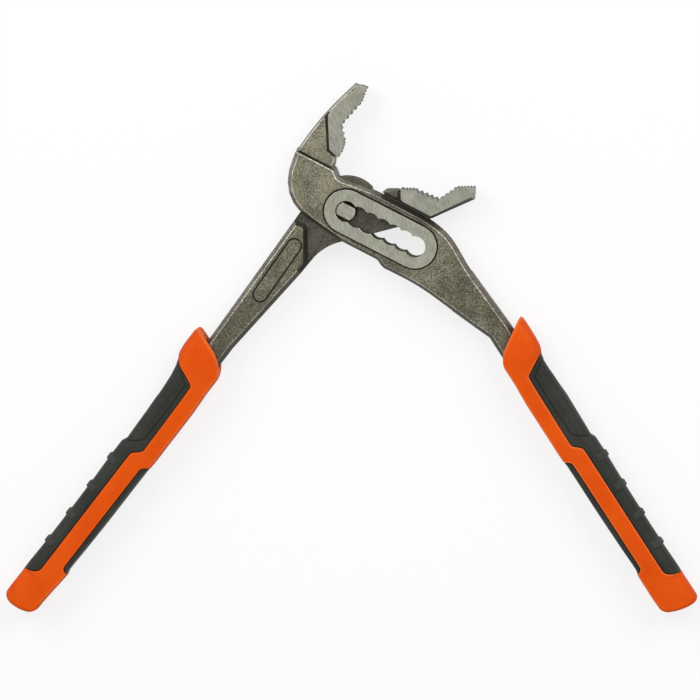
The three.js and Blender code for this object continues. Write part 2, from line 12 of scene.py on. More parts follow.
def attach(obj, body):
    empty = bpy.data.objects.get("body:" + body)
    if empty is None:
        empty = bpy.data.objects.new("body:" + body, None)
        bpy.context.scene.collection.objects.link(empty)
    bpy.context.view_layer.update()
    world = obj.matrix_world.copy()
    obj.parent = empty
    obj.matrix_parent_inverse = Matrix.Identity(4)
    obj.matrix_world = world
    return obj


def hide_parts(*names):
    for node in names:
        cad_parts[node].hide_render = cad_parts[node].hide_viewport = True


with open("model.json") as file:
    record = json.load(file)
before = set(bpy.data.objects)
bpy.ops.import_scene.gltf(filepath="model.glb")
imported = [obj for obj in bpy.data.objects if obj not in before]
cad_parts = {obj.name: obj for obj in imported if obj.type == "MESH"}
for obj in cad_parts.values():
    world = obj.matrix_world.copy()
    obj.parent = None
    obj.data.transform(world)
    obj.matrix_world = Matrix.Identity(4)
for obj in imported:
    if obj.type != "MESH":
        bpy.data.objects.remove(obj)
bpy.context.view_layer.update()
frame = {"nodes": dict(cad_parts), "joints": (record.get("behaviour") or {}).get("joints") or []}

MM = 0.001
JOINTS = {joint["name"]: joint for joint in frame["joints"]}
PIN = np.array(JOINTS["jaw_hinge"]["pos_m"]) / MM
SLOT_AXIS = np.array(JOINTS["slot_slide"]["axis"])
ACROSS_SLOT = np.array([-SLOT_AXIS[1], SLOT_AXIS[0], 0.0])
SLOT_LENGTH = JOINTS["slot_slide"]["range_m"][1] / MM
MIDDLE = PIN[2]


# Materials

# Sockets of a Mix node: its share, its two values, its two colours, and the output of the colours
SHARE, VALUE_A, VALUE_B, COLOUR_A, COLOUR_B = 0, 2, 3, 6, 7
MIXED_COLOUR = 2

# Sizes of the patterns, in millimetres
CLOUD_SIZE, SAND_SIZE, SPECK_SIZE = 8.0, 0.85, 1.1
SCRATCH_SIZE, PATCH_SIZE = 0.45, 6.0
DRIFT_SIZE = 14.0

# Painted shade along the slot's box, in millimetres from the pin: where it starts and where it is full, across the slot
# and from either end along it. Its upper strip is the darker.
SHADE_ACROSS = (9.0, 11.0)
SHADE_FIRST_END = (2.0, 9.0)
SHADE_LAST_END = (39.0, 33.0)
UPPER_SHADE, LOWER_SHADE = 0.7, 0.3

# Colour of the painted shade along the slot's box
SHADE_BROWN = "#29251B"
PIT_BROWN = "#2A261E"
# Painted shade: millimetres up the part over which the steel goes from darker at the grips to lighter at the jaws
SHADE_REACH = 90.0
# Scale of the scratches' pattern along them, over its scale across them
SCRATCH_STRETCH = 0.12
PLASTIC_IOR = 1.49


def linear(hex_colour):
    """Linear RGBA of an sRGB hex colour, by the standard's two-part curve."""
    parts = [int(hex_colour[i:i + 2], 16) / 255 for i in (1, 3, 5)]
    return [c / 12.92 if c <= 0.04045 else ((c + 0.055) / 1.055) ** 2.4 for c in parts] + [1.0]


def grey(value):
    """Linear RGBA of a grey."""
    return [value, value, value, 1.0]


def per_metre(size_mm):
    """Texture scale whose pattern repeats about once in a size."""
    return 1 / (size_mm * MM)


def fill(tree, node, inputs):
    """Gives a node's sockets their links or values."""
    for socket, value in inputs.items():
        if isinstance(value, bpy.types.NodeSocket):
            tree.links.new(value, node.inputs[socket])
        else:
            node.inputs[socket].default_value = value


def add(tree, kind, inputs=None, stops=None, **settings):
    """Adds a node: settings are its attributes, inputs its socket values or links, stops its ramp's colours."""
    made = tree.nodes.new(kind)
    for name, value in settings.items():
        setattr(made, name, value)
    fill(tree, made, inputs or {})
    if stops:
        ramp = made.color_ramp
        while len(ramp.elements) < len(stops):
            ramp.elements.new(0.5)
        for element, (place, colour) in zip(ramp.elements, stops):
            element.position = place
            element.color = colour
    return made


def blank(name):
    """A new material, its tree and its Principled shader."""
    material = bpy.data.materials.new(name)
    material.use_nodes = True
    return material, material.node_tree, material.node_tree.nodes["Principled BSDF"]


def painted_shade(tree, place):
    """How much painted shade darkens the steel: a strip along each edge of the slot's box, and the jaw's neck beside
    the upper one, with soft ends."""
    total = 0.0
    for edge, strength in ((ACROSS_SLOT, UPPER_SHADE), (-ACROSS_SLOT, LOWER_SHADE)):
        share = strength
        for axis, (start, full) in ((edge, SHADE_ACROSS), (SLOT_AXIS, SHADE_FIRST_END), (SLOT_AXIS, SHADE_LAST_END)):
            reach = add(tree, "ShaderNodeVectorMath", {0: place, 1: axis.tolist()}, operation="DOT_PRODUCT")
            ramp = add(tree, "ShaderNodeMapRange", {"Value": reach.outputs["Value"],
                                                    "From Min": (PIN @ axis + start) * MM,
                                                    "From Max": (PIN @ axis + full) * MM})
            share = add(tree, "ShaderNodeMath", {0: share, 1: ramp.outputs[0]}, operation="MULTIPLY").outputs[0]
        total = add(tree, "ShaderNodeMath", {0: total, 1: share}, operation="ADD").outputs[0]
    return total


def forged_steel(name, low, middle, high, roughness, metallic):
    """Drop-forged carbon steel under thin oxide: olive brown-grey, with painted shade that darkens it towards the grips
    and along the edges of the slot's box, a sandy grain left by descaling, clouds, pale rubbed specks and a few dark
    pits. The grain is drawn coarser than the real one to show."""
    material, tree, shader = blank(name)
    place = add(tree, "ShaderNodeTexCoord").outputs["Object"]
    upward = add(tree, "ShaderNodeSeparateXYZ", {0: place}).outputs["Y"]
    # Painted shade: darker towards the grips, lighter towards the jaws
    painted_falloff = add(tree, "ShaderNodeMapRange", {"Value": upward, "From Min": 0.0, "From Max": SHADE_REACH * MM,
                                             "To Min": -0.05, "To Max": 0.055}).outputs[0]
    clouds = add(tree, "ShaderNodeTexNoise", {"Vector": place, "Scale": per_metre(CLOUD_SIZE), "Detail": 6.0,
                                              "Roughness": 0.65})
    grain = add(tree, "ShaderNodeTexNoise", {"Vector": place, "Scale": per_metre(SAND_SIZE), "Detail": 3.0,
                                             "Roughness": 0.8})
    specks = add(tree, "ShaderNodeTexNoise", {"Vector": place, "Scale": per_metre(SPECK_SIZE), "Detail": 3.0,
                                              "Roughness": 0.75})
    mixed = add(tree, "ShaderNodeMix", {SHARE: 0.66, VALUE_A: clouds.outputs["Fac"],
                                        VALUE_B: grain.outputs["Fac"]}).outputs[0]
    blend = add(tree, "ShaderNodeMath", {0: mixed, 1: painted_falloff}, operation="ADD").outputs[0]
    colour = add(tree, "ShaderNodeValToRGB", {"Fac": blend},
                 stops=[(0.40, linear(low)), (0.5, linear(middle)), (0.60, linear(high))])
    pitted = add(tree, "ShaderNodeValToRGB", {"Fac": specks.outputs["Fac"]},
                 stops=[(0.29, grey(0.9)), (0.36, grey(0.0))])
    paler = add(tree, "ShaderNodeValToRGB", {"Fac": specks.outputs["Fac"]},
                 stops=[(0.62, grey(0.0)), (0.74, grey(0.7))])
    final = colour.outputs["Color"]
    # Dark pits and pale rubbed specks, then the painted shade along the slot's box
    for share, over in ((pitted.outputs["Color"], PIT_BROWN), (paler.outputs["Color"], high),
                        (painted_shade(tree, place), SHADE_BROWN)):
        final = add(tree, "ShaderNodeMix", {SHARE: share, COLOUR_A: final, COLOUR_B: linear(over)},
                    data_type="RGBA").outputs[MIXED_COLOUR]
    rough = add(tree, "ShaderNodeMapRange", {"Value": blend, "From Min": 0.3, "From Max": 0.7,
                                             "To Min": roughness + 0.08, "To Max": roughness - 0.08})
    bump = add(tree, "ShaderNodeBump", {"Strength": 0.5, "Distance": 0.1 * MM, "Height": mixed})
    fill(tree, shader, {"Base Color": final, "Roughness": rough.outputs[0], "Normal": bump.outputs[0],
                        "Metallic": metallic})
    return material


def ground_steel(name, turn, low, high):
    """Steel ground flat on a belt: pale grey, with fine straight scratches one way across the face. The scratches
    are drawn about half a millimetre wide, coarser than real ones, so that they show."""
    material, tree, shader = blank(name)
    place = add(tree, "ShaderNodeTexCoord").outputs["Object"]
    along = add(tree, "ShaderNodeMapping", {"Vector": place, "Rotation": (0, 0, turn)}).outputs[0]
    lines = add(tree, "ShaderNodeMapping", {"Vector": along, "Scale": (1.0, SCRATCH_STRETCH, 1.0)}).outputs[0]
    fine = add(tree, "ShaderNodeTexNoise", {"Vector": lines, "Scale": per_metre(SCRATCH_SIZE), "Detail": 3.0,
                                            "Roughness": 0.7})
    wide = add(tree, "ShaderNodeTexNoise", {"Vector": place, "Scale": per_metre(PATCH_SIZE), "Detail": 3.0})
    blend = add(tree, "ShaderNodeMix", {SHARE: 0.35, VALUE_A: fine.outputs["Fac"], VALUE_B: wide.outputs["Fac"]})
    colour = add(tree, "ShaderNodeValToRGB", {"Fac": blend.outputs[0]},
                 stops=[(0.36, linear(low)), (0.64, linear(high))])
    rough = add(tree, "ShaderNodeMapRange", {"Value": blend.outputs[0], "From Min": 0.3, "From Max": 0.7,
                                             "To Min": 0.48, "To Max": 0.34})
    bump = add(tree, "ShaderNodeBump", {"Strength": 0.3, "Distance": 0.05 * MM, "Height": fine.outputs["Fac"]})
    fill(tree, shader, {"Base Color": colour.outputs["Color"], "Roughness": rough.outputs[0],
                        "Normal": bump.outputs[0], "Metallic": 0.85})
    return material


def moulded(name, low, high, paler, grain_mm, roughness, specular):
    """A moulding from a spark-eroded die: an even dull colour that drifts a little, a fine raised grain, and a paler
    colour at edges, for wear where hands and the floor touch it and for painted highlight. The grain is drawn coarser
    than the real one to show."""
    material, tree, shader = blank(name)
    place = add(tree, "ShaderNodeTexCoord").outputs["Object"]
    drift = add(tree, "ShaderNodeTexNoise", {"Vector": place, "Scale": per_metre(DRIFT_SIZE), "Detail": 4.0})
    grain = add(tree, "ShaderNodeTexNoise", {"Vector": place, "Scale": per_metre(grain_mm), "Detail": 2.0,
                                             "Roughness": 0.6})
    blend = add(tree, "ShaderNodeMix", {SHARE: 0.4, VALUE_A: drift.outputs["Fac"], VALUE_B: grain.outputs["Fac"]})
    base = add(tree, "ShaderNodeValToRGB", {"Fac": blend.outputs[0]},
               stops=[(0.36, linear(low)), (0.64, linear(high))])
    # Paler where edge_rub_and_highlight says: wear, and painted highlight
    wear_and_highlight = add(tree, "ShaderNodeAttribute", attribute_name="edge_rub_and_highlight").outputs["Fac"]
    worn_and_highlit = add(tree, "ShaderNodeMath", {0: wear_and_highlight, 1: grain.outputs["Fac"]}, operation="MULTIPLY")
    final = add(tree, "ShaderNodeMix", {SHARE: worn_and_highlit.outputs[0], COLOUR_A: base.outputs["Color"],
                                        COLOUR_B: linear(paler)}, data_type="RGBA")
    rough = add(tree, "ShaderNodeMapRange", {"Value": blend.outputs[0], "From Min": 0.3, "From Max": 0.7,
                                             "To Min": roughness + 0.06, "To Max": roughness - 0.06})
    bump = add(tree, "ShaderNodeBump", {"Strength": 0.25, "Distance": 0.06 * MM, "Height": grain.outputs["Fac"]})
    fill(tree, shader, {"Base Color": final.outputs[MIXED_COLOUR], "Roughness": rough.outputs[0],
                        "Normal": bump.outputs[0], "IOR": PLASTIC_IOR, "Specular IOR Level": specular})
    return material


# Plain forged faces: olive brown-grey and matt
SCALE_STEEL = forged_steel("forged_steel_oxide", "#3D392B", "#605D4C", "#8A8672", roughness=0.55, metallic=0.45)
# Sides trimmed after forging: greyer and smoother
DRAFT_STEEL = forged_steel("forged_steel_trimmed_side", "#4B4740", "#6A655D", "#8C877F", roughness=0.42, metallic=0.6)
# Corners rubbed pale in use, and drawn bright as painted highlight
WORN_AND_HIGHLIT_STEEL = forged_steel("forged_steel_rubbed_edge_and_highlight", "#716D5F", "#9E9A8B", "#C8C4B4", roughness=0.4, metallic=0.6)
# Painted shade in grooves, on walls of the slot and on walls on the web: nearly black
RECESS_SHADE_STEEL = forged_steel("forged_steel_painted_shade_recess", "#15120C", "#1F1B14", "#2E2A21", roughness=0.7, metallic=0.3)
# Painted shade on walls of the teeth: a little less dark
TOOTH_SHADE_STEEL = forged_steel("forged_steel_painted_shade_teeth", "#1A1711", "#26221A", "#363228", roughness=0.65, metallic=0.3)
# Painted shade, less deep, on the web and on sides turned down towards the grips: dark grey-brown with a dull shine
HALF_SHADE_STEEL = forged_steel("forged_steel_painted_half_shade", "#312F27", "#423F36", "#565347", roughness=0.5, metallic=0.45)
# Ground faces: pale, each with its scratches its own way
RIM_STEEL = ground_steel("ground_steel_across_slot", math.radians(-10), "#7C7C6E", "#A8A89A")
JAW_STEEL = ground_steel("ground_steel_jaw_face", math.radians(-24), "#74746A", "#A4A496")
KEY_STEEL = ground_steel("ground_steel_pin_end", math.radians(-64), "#77756A", "#B0AE9F")
# Injection-moulded polypropylene, an even satin orange, with a paler orange for wear and painted highlight at edges
ORANGE = moulded("moulded_orange_polypropylene", "#DB4D04", "#E65806", "#EE8C52",
                 grain_mm=0.5, roughness=0.55, specular=0.1)
# Thermoplastic rubber moulded over it, dull charcoal with a trace of green, with a paler grey for wear and painted
# highlight
BLACK = moulded("moulded_black_rubber", "#191B15", "#2C2E27", "#5C5E56", grain_mm=0.6, roughness=0.62, specular=0.26)


# Steel pieces

# Heights of the steel faces above the middle plane, in millimetres
WEB_FACE = 2.3
JAW_SIDE = 4.4
JAW_FACE = 5.0
FORGING_FACE = 5.2
BOSS_FACE = 6.0

# Other sizes in millimetres, the last being how far below the pin a shank begins
GROOVE_DEPTH = 0.6
NOTCH_RADIUS = 4.35
SHANK_BELOW_PIN = 5.0

# How far a face may lie off a size it is compared with, in millimetres
FINE, CLOSE, LOOSE = 0.03, 0.05, 0.1

# Limits on a face's normal: its z where the face is level, nearly level or upright, and its y where the face is turned
# up towards the jaws or down towards the grips, which chooses the walls and sides that take painted shade
LEVEL, NEARLY_LEVEL, UPRIGHT = 0.99, 0.95, 0.1
TURNED_UP, TURNED_DOWN = 0.3, -0.25

# Most between two parts of one flat face, most between faces shaded as one, least at a corner that is rounded, and
# then the distance in metres at which points are one
FLAT_ANGLE, SMOOTH_ANGLE, CORNER_ANGLE = math.radians(0.4), math.radians(28), math.radians(35)
WELD = 1e-6

# Widths of the roundings in millimetres, and the shares of them that finer corners take
GROOVE_ROUND, LEVER_ROUND, KEY_ROUND, DOWEL_ROUND = 0.32, 0.28, 0.35, 0.2
SHANK_SHARE, FINE_SHARE = 0.4, 0.5

SCALE, RECESS, RIM, JAW, WORN_AND_HIGHLIT, SIDE, HALF_SHADE, TOOTH = range(8)
LEVER_FINISHES = [SCALE_STEEL, RECESS_SHADE_STEEL, RIM_STEEL, JAW_STEEL, WORN_AND_HIGHLIT_STEEL, DRAFT_STEEL, HALF_SHADE_STEEL, TOOTH_SHADE_STEEL]
KEY_END, KEY_SIDE = range(2)
KEY_FINISHES = [KEY_STEEL, RECESS_SHADE_STEEL]
# For a break that takes the finish of the faces beside it
BESIDE_IT = -1


def in_scene(name, data):
    """A new object in the scene."""
    made = bpy.data.objects.new(name, data)
    bpy.context.scene.collection.objects.link(made)
    return made


def clean_copy(node, name):
    """A copy of a CAD node's triangles, merged into whole flat faces."""
    copy = frame["nodes"][node].data.copy()
    copy.name = name
    made = bmesh.new()
    made.from_mesh(copy)
    bmesh.ops.remove_doubles(made, verts=made.verts, dist=WELD)
    bmesh.ops.dissolve_limit(made, angle_limit=FLAT_ANGLE, verts=made.verts, edges=made.edges)
    made.normal_update()
    return copy, made


def stands_on_web(face):
    """Whether a wall rises from the level face of the thin web."""
    beside = [other for edge in face.edges for other in edge.link_faces if abs(other.normal.z) > LEVEL]
    heights = [abs(other.calc_center_median().z / MM - MIDDLE) for other in beside]
    return any(abs(height - WEB_FACE) < CLOSE for height in heights)


def in_slot(face):
    """Whether a face's middle lies within a notch's radius of the line along which the pin slides."""
    centre = face.calc_center_median()
    offset = np.array([centre.x, centre.y]) / MM - PIN[:2]
    along, across = offset @ SLOT_AXIS[:2], offset @ ACROSS_SLOT[:2]
    past = max(-along, along - SLOT_LENGTH, 0)
    return math.hypot(past, across) < NOTCH_RADIUS + LOOSE


def finish_of(face):
    """Which finish a lever's face has, from its height above the middle plane, its lean, and whether it is turned up
    or down. Grooves, hollows, the slot's walls, the web, the teeth's walls and sides turned down take painted shade."""
    signed = np.array([v.co.z / MM - MIDDLE for v in face.verts])
    heights = np.abs(signed)
    lowest, highest = heights.min(), heights.max()
    one_sided = signed.min() * signed.max() > 0
    level = abs(face.normal.z)
    # Level faces: the ground rim, the ground jaw face, and the web drawn in painted shade
    if level > LEVEL:
        for height, finish in ((BOSS_FACE, RIM), (JAW_FACE, JAW), (WEB_FACE, HALF_SHADE)):
            if abs(heights.mean() - height) < CLOSE:
                return finish
    # Painted shade: grooves, the boss's foot wall, the slot's walls and walls standing on the web are drawn nearly
    # black
    for top in (JAW_SIDE, FORGING_FACE):
        bottom = top - GROOVE_DEPTH
        if one_sided and bottom - FINE < lowest < bottom + LOOSE and highest < top + FINE:
            return RECESS
    if one_sided and level < UPRIGHT and lowest > FORGING_FACE - GROOVE_DEPTH - CLOSE:
        return RECESS
    if level < UPRIGHT and in_slot(face):
        return RECESS
    # Painted shade on the teeth's walls: less deep where they are turned up towards the lights
    if level < UPRIGHT and abs(lowest - JAW_FACE) < CLOSE:
        return HALF_SHADE if face.normal.y > TURNED_UP else TOOTH
    if level < NEARLY_LEVEL and stands_on_web(face):
        return RECESS
    # Painted shade, less deep, on sides turned down towards the grips, away from the lights
    if level < NEARLY_LEVEL:
        return HALF_SHADE if face.normal.y < TURNED_DOWN else SIDE
    return SCALE


def key_finish(face):
    """A locking key's finish: ground on its end, and nearly black painted shade on its sides, which stand in the notch.
    """
    return KEY_END if abs(face.normal.z) > NEARLY_LEVEL else KEY_SIDE


def corner(edge):
    """Whether an edge is an outward corner at the border of a level face."""
    return (len(edge.link_faces) == 2 and edge.is_convex and edge.calc_face_angle() > CORNER_ANGLE
            and max(abs(face.normal.z) for face in edge.link_faces) > NEARLY_LEVEL)


def beside_groove(edge):
    """Whether an edge borders a groove or a sunk wall, other than the slot's own wall."""
    finishes = {face.material_index for face in edge.link_faces}
    return RECESS in finishes and RIM not in finishes


def plain_break(edge):
    """Share of the full rounding that a pin's corner takes: all of it."""
    return float(corner(edge))


def groove_break(edge):
    """Share of the full rounding that a groove's corner takes: less on the shank, below the box joint, where the
    groove round the panel was struck finer."""
    if not corner(edge) or not beside_groove(edge):
        return 0.0
    below = PIN[1] - sum(v.co.y for v in edge.verts) / 2 / MM
    return SHANK_SHARE if below > SHANK_BELOW_PIN else 1.0


def lever_break(edge):
    """Share of the full rounding that a lever's corner takes: most between a plain forged face and an outer side."""
    if not corner(edge) or beside_groove(edge):
        return 0.0
    finishes = {face.material_index for face in edge.link_faces}
    return 1.0 if finishes in ({SCALE, SIDE}, {SCALE, HALF_SHADE}) else FINE_SHARE


def steel_piece(node, body, materials, finish, breaks):
    """A CAD steel solid with its corners broken by small roundings, and each face given its own finish. Each break
    is a name, a function that gives an edge its share, a width and the index of the finish that the break takes."""
    name = node + "_steel"
    copy, made = clean_copy(node, name)
    copy.materials.clear()
    for material in materials:
        copy.materials.append(material)
    for face in made.faces:
        face.material_index = finish(face)
        face.smooth = True
    for label, share, *_ in breaks:
        shares = made.edges.layers.float.new(label)
        for edge in made.edges:
            edge[shares] = share(edge)
    made.to_mesh(copy)
    made.free()
    copy.set_sharp_from_angle(angle=SMOOTH_ANGLE)
    piece = in_scene(name, copy)
    for label, _, width, index in breaks:
        bevel = piece.modifiers.new(label, "BEVEL")
        bevel.limit_method = "WEIGHT"
        bevel.edge_weight = label
        bevel.width = width * MM
        bevel.segments = 2
        bevel.use_clamp_overlap = False
        bevel.harden_normals = True
        bevel.material = index
    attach(piece, body)
    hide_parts(node)


# Roundings beside grooves are drawn in painted shade; other corners are drawn pale, for wear and as painted highlight
LEVER_BREAKS = [("groove_break", groove_break, GROOVE_ROUND, HALF_SHADE),
                ("lever_break", lever_break, LEVER_ROUND, WORN_AND_HIGHLIT)]
steel_piece("slotted_lever", "slotted_half", LEVER_FINISHES, finish_of, LEVER_BREAKS)
steel_piece("through_lever", "through_half", LEVER_FINISHES, finish_of, LEVER_BREAKS)
for key in ("front_locking_key", "rear_locking_key"):
    steel_piece(key, "through_half", KEY_FINISHES, key_finish,
                [("key_break", plain_break, KEY_ROUND, KEY_SIDE)])
steel_piece("pivot_dowel", "pin_core", [KEY_STEEL], lambda face: KEY_END,
            [("dowel_break", plain_break, DOWEL_ROUND, BESIDE_IT)])


# Grips: s runs along the handle, t outward to its back, and z up from the middle plane, in millimetres

# Each grip names its lever and body, where its axis starts from the pin, the way the axis runs, and the side on which
# its back lies. The rest sets one grip apart from the other:
#   shift: how far the whole grip lies outward of its axis
#   stretch: how much longer it is than the drawing
#   collar, fade: how much wider the collar's back is, and the place where that has faded out
#   draw_back: how far the mouth's corner at the back is drawn back
#   taper: how far the closed end's belly is drawn in
#   end: middle, slope and bow of the line across the closed end
#   seam_move: how far the back seam's end at the collar and its first corner are moved along the handle
#   seam_rub_and_highlight: how much the orange is drawn paler beside its seams, as wear and painted highlight
RIGHT_GRIP = {"lever": "slotted_lever", "body": "slotted_half", "x": 75.39, "y": -67.738,
              "angle": math.radians(-57.1), "side": 1, "shift": 0.5, "stretch": 1.0, "collar": -0.9, "fade": 6.0,
              "draw_back": 0.0, "taper": -0.5, "end": (114.75, 0.27, -0.022), "seam_move": (-1.2, -0.5),
              "seam_rub_and_highlight": 1.0}
LEFT_GRIP = {"lever": "through_lever", "body": "through_half", "x": -64.7, "y": -71.6,
             "angle": math.radians(232.5), "side": -1, "shift": -0.8, "stretch": 1.012, "collar": 1.5, "fade": 20.0,
             "draw_back": 2.0, "taper": 0.5, "end": (116.3, 0.2, -0.03), "seam_move": (1.2, 0.1),
             "seam_rub_and_highlight": 0.3}

# Grip sections: place, belly edge, back edge, and how far the belly side bulges past the edge of the face
SECTIONS = np.array([
    [-24.0, -7.3, 11.3, 0.8],
    [-14.0, -7.3, 11.25, 0.8],
    [-10.8, -7.3, 11.1, 0.8],
    [-9.0, -7.3, 10.95, 0.8],
    [-7.2, -7.3, 10.6, 0.8],
    [-6.0, -7.3, 10.1, 0.8],
    [-4.6, -7.3, 9.5, 0.8],
    [0.0, -7.3, 8.7, 0.8],
    [3.3, -7.5, 8.4, 0.8],
    [6.6, -7.65, 8.4, 0.8],
    [10.0, -7.8, 8.45, 0.8],
    [15.0, -7.8, 8.7, 0.8],
    [21.0, -7.8, 8.55, 0.8],
    [30.0, -7.8, 8.3, 0.8],
    [34.0, -7.8, 8.15, 0.8],
    [36.2, -7.75, 8.95, 0.8],
    [38.2, -7.65, 9.0, 0.9],
    [40.0, -7.5, 9.0, 1.15],
    [62.0, -7.4, 8.55, 1.15],
    [80.0, -7.1, 8.47, 1.1],
    [91.0, -6.8, 8.57, 1.0],
    [94.0, -7.3, 8.65, 0.8],
    [100.0, -7.1, 8.8, 0.8],
    [104.0, -6.95, 8.65, 0.8],
    [108.0, -6.75, 8.7, 0.8],
    [117.0, -6.0, 8.75, 0.8],
])

# The section's half height, the rise of its face, the back corner's depth and flat, the corners' powers, and the points
# round a corner and across the face
GRIP_HALF = 7.25
CROWN = 0.25
BACK_ROUND = 4.4
BACK_FLAT = 0.8
BACK_POWER = 2.2
BELLY_POWER = 2.3
QUARTER = np.linspace(0, np.pi / 2, 161)
FACE_SHARES = np.linspace(0, 1, 241)[1:-1]
FACE_END = len(QUARTER) + len(FACE_SHARES) + 1

# Where the mouth's ring lies before it is bent, where that bend begins, and where and how long the taper is
MOUTH_PLACE = -23.0
COLLAR_PLACE = -6.0
TAPER_PLACE, TAPER_LENGTH = 92.0, 16.0

# Lines drawn on the front face: the mouth's edge as t and s, and the seams as s and t
MOUTH = np.array([[-7.4, -8.0], [-6.9, -9.1], [-6.3, -10.2], [-5.6, -11.4], [-4.6, -12.8], [-3.3, -14.1],
                  [0.0, -16.3], [4.0, -18.7], [8.6, -21.4], [9.6, -22.0], [10.3, -22.2], [10.9, -21.8],
                  [11.3, -20.9]])
BACK_SEAM = np.array([[-6.3, 10.4], [-0.35, 0.95], [0.1, 0.2], [0.55, -0.25], [1.5, -0.5], [16.0, -0.9],
                      [33.2, -1.1], [34.0, -0.85], [34.5, -0.4], [36.6, 1.9], [37.2, 2.35], [38.2, 2.58],
                      [40.0, 2.62], [97.0, 2.65], [98.6, 3.0], [99.9, 4.1], [100.8, 5.6], [102.0, 9.0]])
BELLY_SEAM = np.array([[37.6, -7.2], [39.4, -5.25], [40.1, -4.8], [41.2, -4.65], [44.0, -4.6], [91.0, -4.4],
                       [92.4, -5.0], [93.4, -7.1]])
PANEL_SEAM = np.array([[-2.9, 8.6], [-2.15, 7.4], [1.2, 2.3], [1.7, 1.85], [2.6, 1.7], [17.8, 1.4], [25.3, 1.5],
                       [29.0, 1.55], [29.9, 2.0], [32.7, 5.1], [34.2, 7.6]])


def monotone(x, y, at):
    """Smooth curve through points that never overshoots: cubic pieces with harmonic-mean slopes."""
    x, y, at = np.asarray(x, float), np.asarray(y, float), np.asarray(at, float)
    run = np.diff(x)
    rise = np.diff(y) / run
    slope = np.zeros(len(x))
    same = rise[:-1] * rise[1:] > 0
    w1, w2 = 2 * run[1:] + run[:-1], run[1:] + 2 * run[:-1]
    with np.errstate(divide="ignore", invalid="ignore"):
        slope[1:-1] = np.where(same, (w1 + w2) / (w1 / rise[:-1] + w2 / rise[1:]), 0.0)
    i = np.clip(np.searchsorted(x, at) - 1, 0, len(run) - 1)
    u = np.clip((at - x[i]) / run[i], 0, 1)
    return ((1 + 2 * u) * (1 - u) ** 2 * y[i] + u * (1 - u) ** 2 * run[i] * slope[i]
            + u * u * (3 - 2 * u) * y[i + 1] + u * u * (u - 1) * run[i] * slope[i + 1])


def smooth_step(x):
    """Rises from 0 to 1 with level ends: three x squared less two x cubed."""
    x = np.clip(x, 0, 1)
    return x * x * (3 - 2 * x)


def bell(x, middle, width):
    """1 at the middle, and falling to both sides as e to the minus square of the distance in widths."""
    return np.exp(-((x - middle) / width) ** 2)


def rounded_edge(distance, radius):
    """Drop of a rounded edge of one radius, at a distance in from the edge: a quarter circle."""
    left = np.clip(radius - distance, 0, radius)
    return radius - np.sqrt(np.maximum(radius ** 2 - left ** 2, 0))


def section(grip, s):
    """Belly edge, back edge and belly bulge of a grip at places along it. Each grip has its own width of the
    collar's back, which fades along the handle, and of the closed end's belly."""
    belly, back, bulge = [monotone(SECTIONS[:, 0], SECTIONS[:, k], s) for k in (1, 2, 3)]
    belly = belly + grip["taper"] * smooth_step((s - TAPER_PLACE) / TAPER_LENGTH)
    back = back + grip["collar"] * smooth_step((grip["fade"] - s) / (grip["fade"] - COLLAR_PLACE))
    return belly, back, bulge


def back_seam(grip):
    """Back seam of a grip: its end at the collar and its first corner lie at that grip's own places along it."""
    seam = BACK_SEAM.copy()
    end_move, corner_move = grip["seam_move"]
    seam[0, 0] += end_move
    seam[1:5, 0] += corner_move
    return seam


def mouth(grip, t):
    """Place of the mouth's edge across a grip: its curve is stretched to the width of that grip's collar, and drawn
    back towards the collar's corner."""
    widest = MOUTH[-1, 0] + grip["collar"]
    share = np.clip(t / widest, 0, 1)
    curve = monotone(MOUTH[:, 0], MOUTH[:, 1], np.where(t > 0, share * MOUTH[-1, 0], t))
    return curve + grip["draw_back"] * share


def cap_end(grip, t):
    """How far the closed end reaches along the handle: a line across the end that slopes and bows, as the grip's
    own three numbers say."""
    middle, slope, bow = grip["end"]
    return middle + slope * t + bow * t ** 2


def ring(grip, s, inset=0.0):
    """Front half of the section at each place, drawn in by an inset: a short flat back, a quarter superellipse as
    back corner, a slightly crowned face, and a tall narrow quarter superellipse as bulged belly side with a crisp
    edge. Gives t, z and the running length round it, one row for each place."""
    belly, back, bulge = [v[:, None] for v in section(grip, np.asarray(s, float))]
    inset = np.broadcast_to(np.asarray(inset, float), np.shape(s))[:, None]
    belly, back, tall = belly + inset, back - inset, GRIP_HALF - inset
    rounding = BACK_ROUND - inset / 2
    cos, sin = np.cos(QUARTER), np.sin(QUARTER)
    cos[-1] = 0.0
    corner_t = back - rounding * (1 - cos ** (2 / BACK_POWER))
    corner_z = BACK_FLAT + (tall - BACK_FLAT) * sin ** (2 / BACK_POWER)
    inner, outer = back - rounding, belly + bulge
    face_t = inner + (outer - inner) * FACE_SHARES
    face_z = tall + CROWN * np.sin(np.pi * FACE_SHARES) ** 2
    belly_t = outer - bulge * sin ** (2 / BELLY_POWER)
    belly_z = tall * cos ** (2 / BELLY_POWER)
    t = np.hstack([back, corner_t, face_t, belly_t])
    z = np.hstack([0 * back, corner_z, face_z, belly_z])
    length = np.cumsum(np.hypot(np.diff(t, axis=1), np.diff(z, axis=1)), axis=1)
    return t, z, np.hstack([np.zeros((len(t), 1)), length])


def rows_at(columns, length, values):
    """Values read off each row at the given running lengths."""
    return np.array([np.interp(c, l, v) for c, l, v in zip(columns, length, values)])


def seam_length(seam, s, t, length):
    """Running length at which each section reaches a seam, over the face."""
    seam_t = monotone(seam[:, 0], seam[:, 1], s)
    return np.array([np.interp(-x, -row, l) for x, row, l in zip(seam_t, t, length)])


def seam_slope(seam, s):
    """Stretch of a row's distances over true distances square to a seam, up to a limit."""
    step, most = 0.05, 3.0
    rise = (monotone(seam[:, 0], seam[:, 1], s + step) - monotone(seam[:, 0], seam[:, 1], s - step)) / (2 * step)
    return np.minimum(np.sqrt(1 + rise ** 2), most)


